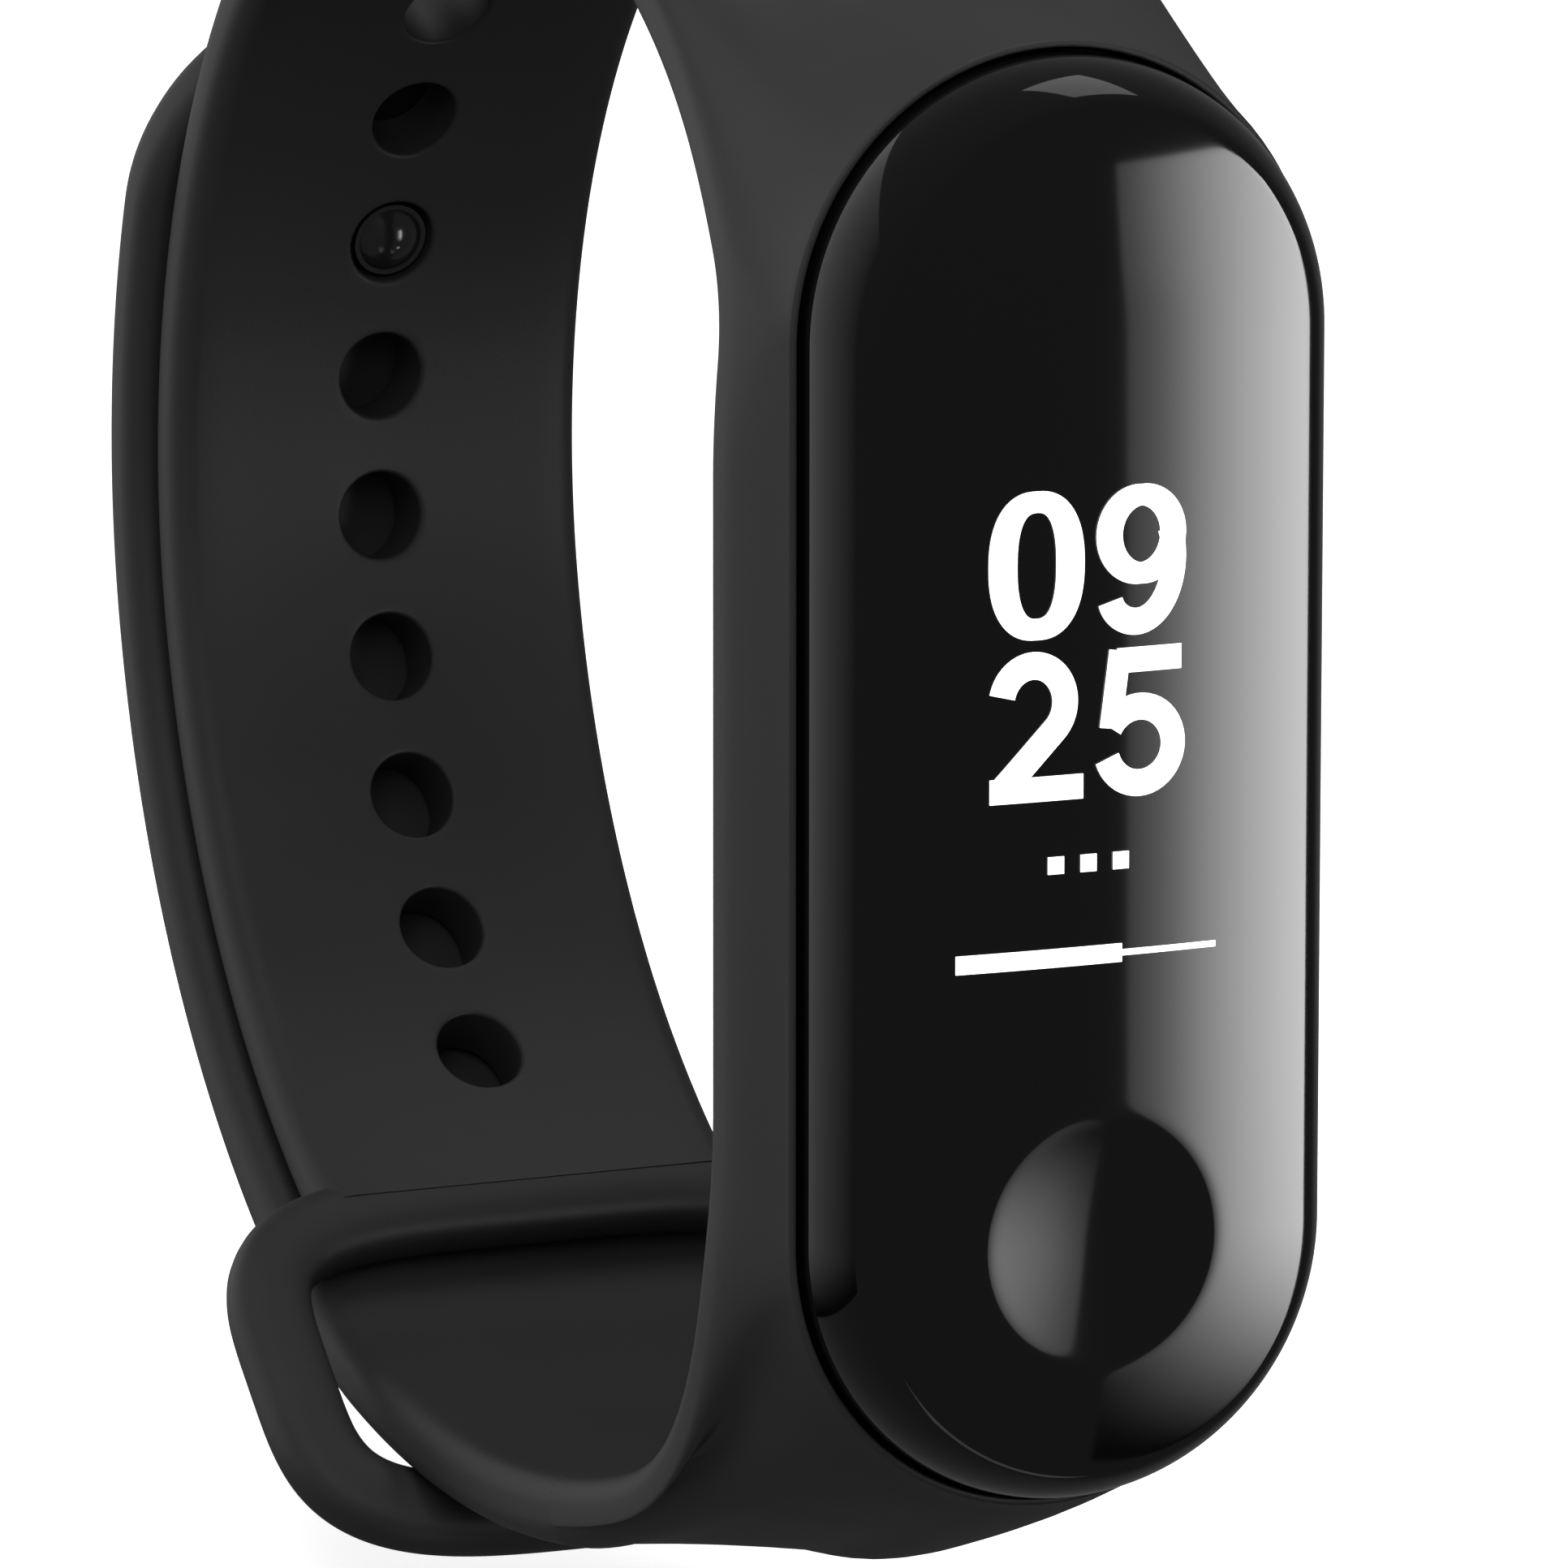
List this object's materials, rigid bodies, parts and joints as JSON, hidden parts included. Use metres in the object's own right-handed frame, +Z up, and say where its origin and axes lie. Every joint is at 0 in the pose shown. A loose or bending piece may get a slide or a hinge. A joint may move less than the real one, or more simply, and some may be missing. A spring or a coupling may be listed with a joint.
{
  "type": "fitness tracker band",
  "caption": "Pill-shaped activity tracker capsule held in a soft one-piece strap that closes through a loop with a push-in stud.",
  "frame": {"origin": "centre of the strap's main bend, the middle of the wrist that it goes round", "axes": "+X along the wrist's axis, -Y out of the front of the capsule, +Z up towards the display's top"},
  "size_m": [0.0246, 0.0638, 0.063],
  "materials": {
    "strap_rubber": "fine matte moulded elastomer",
    "stud_plastic": "polished",
    "lens_gloss": "high gloss, black printed behind",
    "gasket": "matte",
    "display_glass": "polished",
    "copper_flex": "polyimide film over copper",
    "contact_gold": "gold plated",
    "tray_plastic": "moulded",
    "shell_plastic": "fine satin",
    "board_green": "solder mask",
    "chip_black": "moulded",
    "connector_plastic": "moulded",
    "battery_foil": "laminated foil pouch",
    "motor_steel": "drawn",
    "weight_metal": "sintered",
    "led_clear": "clear moulded",
    "window_dark": "smoked, polished"
  },
  "bodies": {
    "strap": {"strap_frame": "strap_rubber", "band_upper": "strap_rubber", "band_lower": "strap_rubber", "strap_loop": "strap_rubber", "tail_belly": "strap_rubber", "tail_dip": "strap_rubber", "tail_rear": "strap_rubber"},
    "tail": {"tail_tip": "strap_rubber", "stud_pin": "stud_plastic", "stud_cap": "stud_plastic"},
    "capsule": {"front_lens": "lens_gloss", "lens_gasket": "gasket", "display_panel": "display_glass", "display_flex": "copper_flex", "touch_electrode": "copper_flex", "touch_contact": "contact_gold", "inner_frame": "tray_plastic", "antenna": "contact_gold", "capsule_shell": "shell_plastic", "main_board": "board_green", "radio_chip": "chip_black", "memory_chip": "chip_black", "motion_chip": "chip_black", "board_connector": "connector_plastic", "battery_cell": "battery_foil", "battery_tab": "copper_flex", "motor_case": "motor_steel", "sensor_board": "board_green", "sensor_led_left": "led_clear", "sensor_led_right": "led_clear", "photodiode": "chip_black", "light_barrier": "chip_black", "sensor_window": "window_dark", "charge_pin_left": "contact_gold", "charge_pin_right": "contact_gold", "pin_seal_left": "gasket", "pin_seal_right": "gasket"},
    "motor_rotor": {"motor_shaft": "motor_steel", "motor_weight": "weight_metal"}
  },
  "joints": [
    {"name": "tail_peel", "type": "hinge", "parent": "strap", "child": "tail", "pos_m": [0, 0.02835, -0.0076], "axis": [-1, 0, 0], "range_deg": [0, 40], "stiffness_Nm_per_rad": 0.03},
    {"name": "capsule_release", "type": "slide", "parent": "strap", "child": "capsule", "axis": [0, -0.9978, 0.0663], "range_m": [0, 0.012]},
    {"name": "motor_spin", "type": "hinge", "parent": "capsule", "child": "motor_rotor", "pos_m": [0, -0.02368, 0.01421], "axis": [1, 0, 0], "continuous": true}
  ]
}
